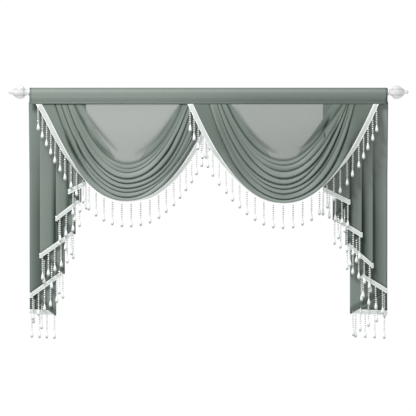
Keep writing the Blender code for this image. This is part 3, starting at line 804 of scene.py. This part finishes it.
def tail_grid(tail):
    """Points, painted shade and closeness of a tail, from inside the heading to its hem."""
    stops = tail_stops(tail)
    hem = stops.hem
    middle = TAIL_LEVELS[1][0]
    levels = [np.full(len(hem), -SEAM - TUCK)]
    levels += [np.full(len(hem), between(-SEAM, middle, row / TAIL_UPPER)) for row in range(TAIL_UPPER)]
    levels += [between(middle, hem, row / TAIL_LOWER) for row in range(TAIL_LOWER + 1)]
    levels += [hem + HEM_BEHIND * (row + 1.0) / HEM_BEHIND_ROWS for row in range(HEM_BEHIND_ROWS)]
    points = np.array([tail_points(tail, stops, down) for down in levels])
    deep = rise(np.array(levels), SHADE_FROM, SHADE_SPAN)
    fold = between(tail.shade_top, tail.shade, deep) + stops.fold * between(SHADE_TOP, 1.0, deep)
    fold[-HEM_BEHIND_ROWS - 1:] += RETURN_SHADE * (1.0 - fold[-HEM_BEHIND_ROWS - 1:])
    return points, fold, np.ones(fold.shape)


# Heading

HEADING_COLUMNS = 240
HEADING_CLOSED = 0.95
POCKET_LOW = -18.0  # where the front starts to round over the rod
POCKET_LOW_SHARE = 0.6
POCKET_MIDDLE = 0.75  # from the inside of the pocket to the middle of its cloth
BELOW_ROWS = 12
ROUNDING_ROWS = 5
OVER_ROWS = 25
PUCKER = 0.5  # how far the puckers come forward, and from which level
PUCKER_LEVEL = -20.0
PUCKER_IN = 0.6  # how far back the puckers are set
# Height, rate and start of waves along the heading: small puckers, their drift and wide puckers.
SMALL_PUCKERS = (0.35, 0.21)
PUCKER_DRIFT = (1.3, 0.013)
WIDE_PUCKERS = (0.25, 0.083, 2.0)
END_SHADE = 0.32  # painted shade at the stitched ends, and its width
END_WIDTH = 8.0
SIDES_RISE = (-300.0, 600.0)  # from the painted shades at the left to those at the right

# Levels on the heading, and the painted shade there at its left and at its right: deep over the doubled
# cloth below, least on the light band over the rod, and deep again at the stitched top edge.
HEADING_SHADES = (
    (-48.5, 0.15, 0.4), (-43, 0.35, 0.5), (-38, 0.39, 0.57), (-30, 0.34, 0.5), (-21, 0.18, 0.38),
    (-9, 0.17, 0.27), (-5, 0.09, 0.25), (0, 0.02, 0.1), (4.2, 0.02, 0.07), (8.4, 0.18, 0.21), (13, 0.4, 0.36),
    (17, 0.6, 0.6), (19, 0.6, 0.6),
)


def heading_section():
    """Depths and levels of the heading's section: up its front, over the rod and down its back."""
    radius = ROD_RADIUS + POCKET_EASE + POCKET_MIDDLE
    share = np.append(np.linspace(0.0, POCKET_LOW_SHARE, BELOW_ROWS, endpoint=False),
                      np.linspace(POCKET_LOW_SHARE, 1.0, ROUNDING_ROWS, endpoint=False))
    level = np.interp(share, (0.0, POCKET_LOW_SHARE, 1.0), (HEADING_LOW, POCKET_LOW, 0.0))
    front = np.stack([-between(HEADER_BOTTOM_HALF, radius, share), level], axis=1)
    angle = np.linspace(0.0, math.pi, OVER_ROWS)
    over = np.stack([-radius * np.cos(angle), (radius + POCKET_RISE) * np.sin(angle)], axis=1)
    return np.concatenate([front, over, front[::-1] * (-1.0, 1.0)])


def wave(place, height, rate, start=0.0):
    return height * np.sin(place * rate + start)


def heading_grid():
    section = heading_section()
    along = np.linspace(CLOTH_LEFT, CLOTH_RIGHT, HEADING_COLUMNS)
    points = np.zeros((len(section), len(along), 3))
    points[..., 0] = along
    points[..., 1:] = section[:, None]
    pucker = wave(along, *SMALL_PUCKERS, wave(along, *PUCKER_DRIFT)) + wave(along, *WIDE_PUCKERS)
    low = rise(points[..., 2], PUCKER_LEVEL, HEADER_BOTTOM - PUCKER_LEVEL)
    points[..., 1] += np.sign(points[..., 1]) * PUCKER * (pucker - PUCKER_IN) * low
    # Painted shade by level, changing from left to right, and at the stitched ends.
    levels, left, right = zip(*HEADING_SHADES)
    at_left = np.interp(points[..., 2], levels, left)
    at_right = np.interp(points[..., 2], levels, right)
    ends = np.minimum(along - CLOTH_LEFT, CLOTH_RIGHT - along)
    fold = between(at_left, at_right, rise(points[..., 0], *SIDES_RISE))
    fold += END_SHADE * np.exp(-(ends / END_WIDTH) ** 4)
    return points, fold, np.full(fold.shape, HEADING_CLOSED)


# Braid

CORD_RADIUS = 1.5
CORD_SIDES = 8
CORD_PITCH = 9.0
CORD_LOBES = 0.16  # how much its two plies stand out
GIMP_RADIUS = 0.75
GIMP_SIDES = 5
GIMP_PITCH = 12.8
GIMP_INSET = 0.6  # between the gimp's turns and the edge cords
GIMP_OUT = 0.55  # how far it lies off the web, and how much that swings
GIMP_SWING = 0.3
WEB_HALF = 0.45
WEB_SWELL = 1.3
BRAID_STEP = 1.6
HEM_SAMPLES = 4001  # places at which a hem's length is taken
LEAST_STEP = 1e-4  # points closer than this count as one
TINY = 1e-9
BRAID_RUN_ON = 14.0  # what is cut off its ends at the seam
BRAID_OFF = 2.1  # from the middle of the cloth to the middle of the braid
BRAID_TOP = SEWN_GAP + CORD_RADIUS
BRAID_LOW = SEWN_GAP + TRIM_WIDTH - CORD_RADIUS
COVERED_RISE = (0.86, 0.09)  # where the right swag starts to cover the left one's hem


def sweep(frames, sections):
    """Closed tube through frames (edge, leave, face), each with a section of (across, out) points."""
    edge, leave, face = frames
    count, sides = sections.shape[:2]
    points = edge[:, None] + leave[:, None] * sections[..., :1] + face[:, None] * sections[..., 1:]
    ring = np.arange(sides)
    start = np.arange(count - 1)[:, None] * sides
    after = (ring + 1) % sides
    quads = np.stack([start + ring, start + sides + ring, start + sides + after, start + after], axis=2)
    end = (count - 1) * sides
    caps = [list(range(sides)), list(range(end + sides - 1, end - 1, -1))]
    return points.reshape(-1, 3), quads.reshape(-1, 4).tolist() + caps


def round_sections(centre, out, radius, sides, length, lobes=0.0, pitch=1.0):
    """Sections of a cord: centre across and out of the braid, for each place along it."""
    angle = 2.0 * math.pi * np.arange(sides) / sides
    twist = 2.0 * math.pi * length / pitch
    grown = radius * (1.0 + lobes * np.cos(2.0 * (angle[None, :] - twist[:, None])))
    across = centre[:, None] + grown * np.cos(angle)
    outward = out[:, None] + grown * np.sin(angle)
    return np.stack([across, outward], axis=2)


def braid(name, frames, looks):
    """Braid with two twisted edge cords and a lattice of gimp over a woven web."""
    length = length_along(frames[0])
    ones = np.ones(len(length))
    middle = between(BRAID_TOP, BRAID_LOW, 0.5)
    parts = []
    for centre in (BRAID_TOP, BRAID_LOW):
        parts.append((round_sections(centre * ones, 0.0 * ones, CORD_RADIUS, CORD_SIDES, length, CORD_LOBES,
                                     CORD_PITCH), 0))
    reach = 0.5 * (BRAID_LOW - BRAID_TOP) - GIMP_INSET
    for side in (-1.0, 1.0):
        for phase in (0.0, math.pi):
            swing = 2.0 * math.pi * length / GIMP_PITCH + phase
            out = side * (WEB_HALF + GIMP_OUT + GIMP_SWING * np.cos(swing))
            across = middle + reach * np.sin(swing)
            parts.append((round_sections(across, out, GIMP_RADIUS, GIMP_SIDES, length), 0))
    front = [(BRAID_TOP, WEB_HALF), (middle, WEB_HALF * WEB_SWELL), (BRAID_LOW, WEB_HALF)]
    web = np.array(front + [(across, -out) for across, out in reversed(front)])
    parts.append((np.tile(web, (len(length), 1, 1)), 1))
    found = []
    for sections, slot in parts:
        points, faces = sweep(frames, sections)
        found.append((points * MM, faces, [slot] * len(faces)))
    made = joined_piece(name, found, [looks.cord, looks.web])
    turn_outward(made.data, cut=True)
    made.data.shade_smooth()
    return made


def turn_outward(mesh, cut=False):
    """Makes faces point outwards, after the mesh is cut off at the seam and closed where asked."""
    shape = bmesh.new()
    shape.from_mesh(mesh)
    if cut:
        every = shape.verts[:] + shape.edges[:] + shape.faces[:]
        bmesh.ops.bisect_plane(shape, geom=every, plane_co=(0.0, 0.0, SEAM * MM), plane_no=(0.0, 0.0, 1.0),
                               clear_outer=True)
        bmesh.ops.holes_fill(shape, edges=[edge for edge in shape.edges if edge.is_boundary])
    bmesh.ops.recalc_face_normals(shape, faces=shape.faces)
    shape.to_mesh(mesh)
    shape.free()


def even_steps(length):
    return np.linspace(0.0, length[-1], int(length[-1] / BRAID_STEP))


def hem_places(swag):
    """Places evenly spaced along a swag's hem, and a table of the hem's length at its places."""
    fine = np.linspace(-1.0, 1.0, HEM_SAMPLES)
    length = length_along(on_line(swag, swag.folds[-1], fine))
    return np.interp(even_steps(length), length, fine), length, fine


def set_off(frames, covered=0.0):
    """Moves a hem's frames out to the middle of the braid, and back by a share where it is covered."""
    edge, leave, face = frames
    off = BRAID_OFF * (1.0 - covered * np.ones(len(edge)))
    return edge + face * off[:, None], leave, face


def swag_braid_frames(swag, place):
    return set_off(hem_frames(swag, place), swag.covered * rise(place, *COVERED_RISE))


def run_on(frames):
    """Lengthens a hem's frames straight on past both ends."""
    edge, leave, face = frames
    ends = edge[[0, -1]]
    way = ends - edge[[1, -2]]
    ends += way / np.linalg.norm(way, axis=1)[:, None] * BRAID_RUN_ON
    leave, face = (np.pad(way, ((1, 1), (0, 0)), mode="edge") for way in (leave, face))
    return np.concatenate([ends[:1], edge, ends[1:]]), leave, face


def tail_braid_frames(tail):
    """Frames of the braid on a tail's zigzag hem."""
    stops = tail_stops(tail)
    line = tail_points(tail, stops, stops.hem)
    line = line[np.concatenate([[True], np.diff(length_along(line)) > LEAST_STEP])]
    length = length_along(line)
    edge = np.stack([np.interp(even_steps(length), length, line[:, axis]) for axis in range(3)], axis=1)
    run = np.gradient(edge, axis=0)
    face = np.stack([run[:, 1], -run[:, 0], np.zeros(len(run))], axis=1) * outward_of(tail)
    face /= np.maximum(np.linalg.norm(face, axis=1), TINY)[:, None]
    return set_off((edge, np.tile(np.array([0.0, 0.0, -1.0]), (len(edge), 1)), face))


# Bead drops

THREAD_RADIUS = 0.45
THREAD_TOP = 8.5  # how far the thread runs up over the braid from where a drop hangs
THREAD_LOW = -66.0
THREAD_SIDES = 4
BEAD_SIDES = 8
BEAD_RINGS = 5
TEAR_SIDES = 10
HANG_LOWER = 8.0  # how much lower the drops hang where the hem turns under
SWAY = 0.012
LEAN_RISE = (0.5, 0.25)  # from where on the left of a swag its drops lean forward
TAIL_DROP_FLAT = 0.7

# Level and radius down the teardrop, and level, radius and half height of each small bead.
TEAR = ((-67.5, 1.0), (-69.5, 2.2), (-73.0, 3.3), (-78.0, 4.5), (-83.5, 5.8), (-88.5, 6.6), (-93.5, 6.5),
        (-97.3, 5.4), (-100.0, 3.4), (-101.0, 1.2))
SMALL_BEADS = ((-5.0, 3.9, 3.1), (-13.6, 4.4, 3.2), (-22.2, 4.1, 3.1), (-30.8, 4.6, 3.3), (-39.4, 4.3, 3.2),
               (-48.0, 4.1, 3.1), (-56.6, 4.5, 3.3), (-64.6, 3.4, 2.8))

# Distance below the braid, and how deep the tone of the clear beads is there: greyer on the strings,
# and a painted shade at the teardrop's lower end.
BEAD_TONES_AND_SHADE = ((0, 0.44), (66, 0.44), (71, 0.3), (76, 0.12), (90, 0.14), (94, 0.46), (99, 0.95))


def turned(name, profile, sides, material, twist=0.0):
    """A shape turned about Z by extruding a ring from level to level; profile is (level, radius)."""
    level, radius = profile[0]
    deselect()
    bpy.ops.mesh.primitive_circle_add(vertices=sides, radius=radius * MM, fill_type="NGON",
                                      location=(0.0, 0.0, level * MM))
    made = bpy.context.object
    made.name = name
    bpy.ops.object.transform_apply(location=True, rotation=True, scale=True)
    bpy.ops.object.mode_set(mode="EDIT")
    bpy.ops.mesh.select_all(action="SELECT")
    for next_level, next_radius in profile[1:]:
        centre = (0.0, 0.0, next_level * MM)
        grow = next_radius / radius
        bpy.ops.mesh.extrude_region_move(
            TRANSFORM_OT_translate={"value": (0.0, 0.0, (next_level - level) * MM)})
        bpy.ops.transform.resize(value=(grow, grow, 1.0), center_override=centre)
        if twist:
            bpy.ops.transform.rotate(value=twist, orient_axis="Z", center_override=centre)
        level, radius = next_level, next_radius
    bpy.ops.object.mode_set(mode="OBJECT")
    turn_outward(made.data)
    made.data.materials.append(material)
    return made


def small_bead(level, radius, half_height, material):
    deselect()
    bpy.ops.mesh.primitive_uv_sphere_add(segments=BEAD_SIDES, ring_count=BEAD_RINGS, radius=radius * MM,
                                         location=(0.0, 0.0, level * MM))
    made = bpy.context.object
    made.name = "drop bead"
    made.scale = (1.0, 1.0, half_height / radius)
    bpy.ops.object.transform_apply(location=True, rotation=True, scale=True)
    made.data.materials.append(material)
    return made


def drop_template(looks):
    """One bead drop, hanging from the origin."""
    thread = ((THREAD_TOP, THREAD_RADIUS), (THREAD_LOW, THREAD_RADIUS))
    parts = [turned("drop thread", thread, THREAD_SIDES, looks.cord)]
    parts += [small_bead(*row, looks.bead) for row in SMALL_BEADS]
    parts.append(turned("drop tear", TEAR, TEAR_SIDES, looks.bead))
    deselect()
    for part in parts:
        part.select_set(True)
    bpy.context.view_layer.objects.active = parts[0]
    bpy.ops.object.join()
    return bpy.context.object


def bead_drops(name, template, roots, leans, flat, seed, looks):
    """Many drops joined as one mesh: roots are where they hang, leans their forward slopes."""
    rng = np.random.default_rng(seed)
    source = template.data
    base = np.empty(len(source.vertices) * 3)
    source.vertices.foreach_get("co", base)
    base = base.reshape(-1, 3)
    faces = [list(polygon.vertices) for polygon in source.polygons]
    slots = [polygon.material_index for polygon in source.polygons]
    parts = []
    for root, lean in zip(roots, leans):
        spin = rng.uniform(0.0, math.pi)
        sway = rng.normal(0.0, SWAY)
        turn = np.array([[math.cos(spin), -math.sin(spin), 0.0], [math.sin(spin), math.cos(spin), 0.0],
                         [0.0, 0.0, 1.0]])
        local = base @ turn.T
        local[:, 0] -= local[:, 2] * sway
        local[:, 1] = local[:, 1] * flat + local[:, 2] * lean
        parts.append((local + root * MM, faces, slots))
    made = joined_piece(name, parts, [looks.cord, looks.bead])
    # Tone of the beads, with painted shade at the teardrop's lower end.
    tones_and_shade = np.interp(-base[:, 2] / MM, *zip(*BEAD_TONES_AND_SHADE))
    write_values(made.data, "bead_tone_and_shade", np.tile(tones_and_shade, len(roots)))
    made.data.shade_smooth()
    return made


# Finials

# Distance from the end of the rod and radius: neck, flared body and tip ball.
FINIAL = ((0.0, 11.5), (8.0, 11.5), (9.0, 15.0), (13.5, 16.0), (15.0, 17.5), (21.0, 26.5), (30.0, 29.5),
          (39.0, 29.0), (52.0, 23.0), (64.0, 13.0), (69.0, 7.0), (72.0, 8.6), (76.0, 9.4), (80.5, 7.6),
          (84.0, 2.5))
FINIAL_SIDES = 12
FACET_BEVEL = 0.5
FACET_ANGLE = 12.0


def finial(name, node, side, material):
    """A faceted finial on the end of the rod."""
    made = turned(name, FINIAL, FINIAL_SIDES, material, math.pi / FINIAL_SIDES)
    place = Matrix.Translation((side * (ROD_HALF + GAP) * MM, 0.0, 0.0))
    made.data.transform(place @ Matrix.Rotation(side * math.pi / 2.0, 4, "Y"))
    cut = made.modifiers.new("facets", "TRIANGULATE")
    cut.quad_method = "SHORTEST_DIAGONAL"
    round_off = made.modifiers.new("rounded edges", "BEVEL")
    round_off.width = FACET_BEVEL * MM
    round_off.segments = 1
    round_off.limit_method = "ANGLE"
    round_off.angle_limit = math.radians(FACET_ANGLE)
    apply_modifiers(made)
    made.data.shade_flat()
    stands_for(made, node)


# The whole drape

Looks = namedtuple("Looks", "voile cord web bead crystal")


def stands_for(piece, node):
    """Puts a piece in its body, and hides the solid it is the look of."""
    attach(piece, BODY)
    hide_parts(node)


def add_heading(looks):
    heading = voile_sheet("heading", *heading_grid(), looks.voile)
    stands_for(heading, "header")


def add_cloth(name, grid, frames, drops, looks):
    """A swag or a tail with its braid and its bead drops."""
    cloth = voile_sheet(name + "_voile", *grid, looks.voile)
    stands_for(cloth, name)
    pieces = [braid(name + "_braid", frames, looks), bead_drops(name + "_beads", *drops, looks)]
    for piece in pieces:
        stands_for(piece, "fringe_" + name)


def add_swag(name, swag, template, looks):
    place, length, fine = hem_places(swag)
    spots = np.interp(swag.drop_first + swag.drop_pitch * np.arange(swag.drops), length, fine)
    edge, leave, face = swag_braid_frames(swag, spots)
    roots = edge + leave * BRAID_LOW
    roots[:, 2] -= HANG_LOWER * turned_under(swag, spots)
    leans = swag.fringe_lean * rise(-spots, *LEAN_RISE)
    add_cloth(name, swag_grid(swag), run_on(swag_braid_frames(swag, place)),
              (template, roots, leans, 1.0, swag.seed), looks)


def add_tail(name, tail, template, looks):
    stops = drop_stops(tail)
    roots = tail_points(tail, stops, stops.hem)
    roots[:, 2] -= BRAID_LOW
    add_cloth(name, tail_grid(tail), tail_braid_frames(tail),
              (template, roots, np.zeros(len(roots)), TAIL_DROP_FLAT, tail.seed), looks)


def build():
    cord = braid_material("white braid cord", (0.57, 0.585, 0.575), (0.46, 0.48, 0.47), 400.0)
    web = braid_material("white braid web", (0.42, 0.44, 0.43), (0.29, 0.31, 0.3), 300.0)
    looks = Looks(voile_material(), cord, web, bead_material(), crystal_material())
    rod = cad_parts["rod"]
    rod.data.materials.clear()
    rod.data.materials.append(rod_material())
    finial("finial_left_cut", "finial_left", -1.0, looks.crystal)
    finial("finial_right_cut", "finial_right", 1.0, looks.crystal)
    add_heading(looks)
    template = drop_template(looks)
    add_swag("swag_left", LEFT_SWAG, template, looks)
    add_swag("swag_right", RIGHT_SWAG, template, looks)
    add_tail("tail_left", LEFT_TAIL, template, looks)
    add_tail("tail_right", RIGHT_TAIL, template, looks)
    bpy.data.objects.remove(template)


# The room, in metres

CAMERA_PLACE = (-0.0021, -7.295, -0.4872)
LENS, SENSOR = 150.0, 36.0
FLOOR_SIZE, FLOOR_LEVEL = 8.0, -2.1
LIGHT_AIM = (0.0, 0.0, -0.4)
ROOM_LIGHT = 0.3  # strength of the white room for the drape, and as it is seen
ROOM_WHITE = 1.02
Lamp = namedtuple("Lamp", "name place size watts")
LAMPS = (Lamp("key", (-2.2, -2.2, 3.6), 1.6, 390.0), Lamp("fill", (2.8, -3.4, 0.6), 2.4, 20.0))


def add_camera():
    camera = add_object("camera", bpy.data.cameras.new("camera"))
    camera.data.lens = LENS
    camera.data.sensor_width = SENSOR
    camera.location = CAMERA_PLACE
    camera.rotation_euler = (math.pi / 2.0, 0.0, 0.0)
    bpy.context.scene.camera = camera


def add_floor():
    deselect()
    bpy.ops.mesh.primitive_plane_add(size=FLOOR_SIZE, location=(0.0, 0.0, FLOOR_LEVEL))
    floor = bpy.context.object
    floor.name = "floor"
    pale = Nodes(bpy.data.materials.new("pale floor"))
    pale.shader(Base_Color=pale.mix(pale.noise(pale.place(), 3.0), (0.88, 0.88, 0.87), (0.92, 0.92, 0.91)),
                Roughness=0.7)
    floor.data.materials.append(pale.owner)


def add_lamp(lamp):
    light = add_object(lamp.name, bpy.data.lights.new(lamp.name, "AREA"))
    light.data.shape = "DISK"
    light.data.size = lamp.size
    light.data.energy = lamp.watts
    light.location = lamp.place
    light.rotation_euler = (Vector(LIGHT_AIM) - light.location).to_track_quat("-Z", "Y").to_euler()


def add_world():
    room = Nodes(bpy.data.worlds.new("white room"))
    bpy.context.scene.world = room.owner
    seen = room.add("ShaderNodeLightPath", {})["Is Camera Ray"]
    strength = room.add("ShaderNodeMapRange", {"Value": seen, "To Min": ROOM_LIGHT, "To Max": ROOM_WHITE})[0]
    room.feed(room.tree.nodes["Background"], {"Color": (1.0, 1.0, 1.0, 1.0), "Strength": strength})


build()
bpy.context.scene.view_settings.view_transform = "Standard"
add_camera()
add_floor()
for lamp in LAMPS:
    add_lamp(lamp)
add_world()
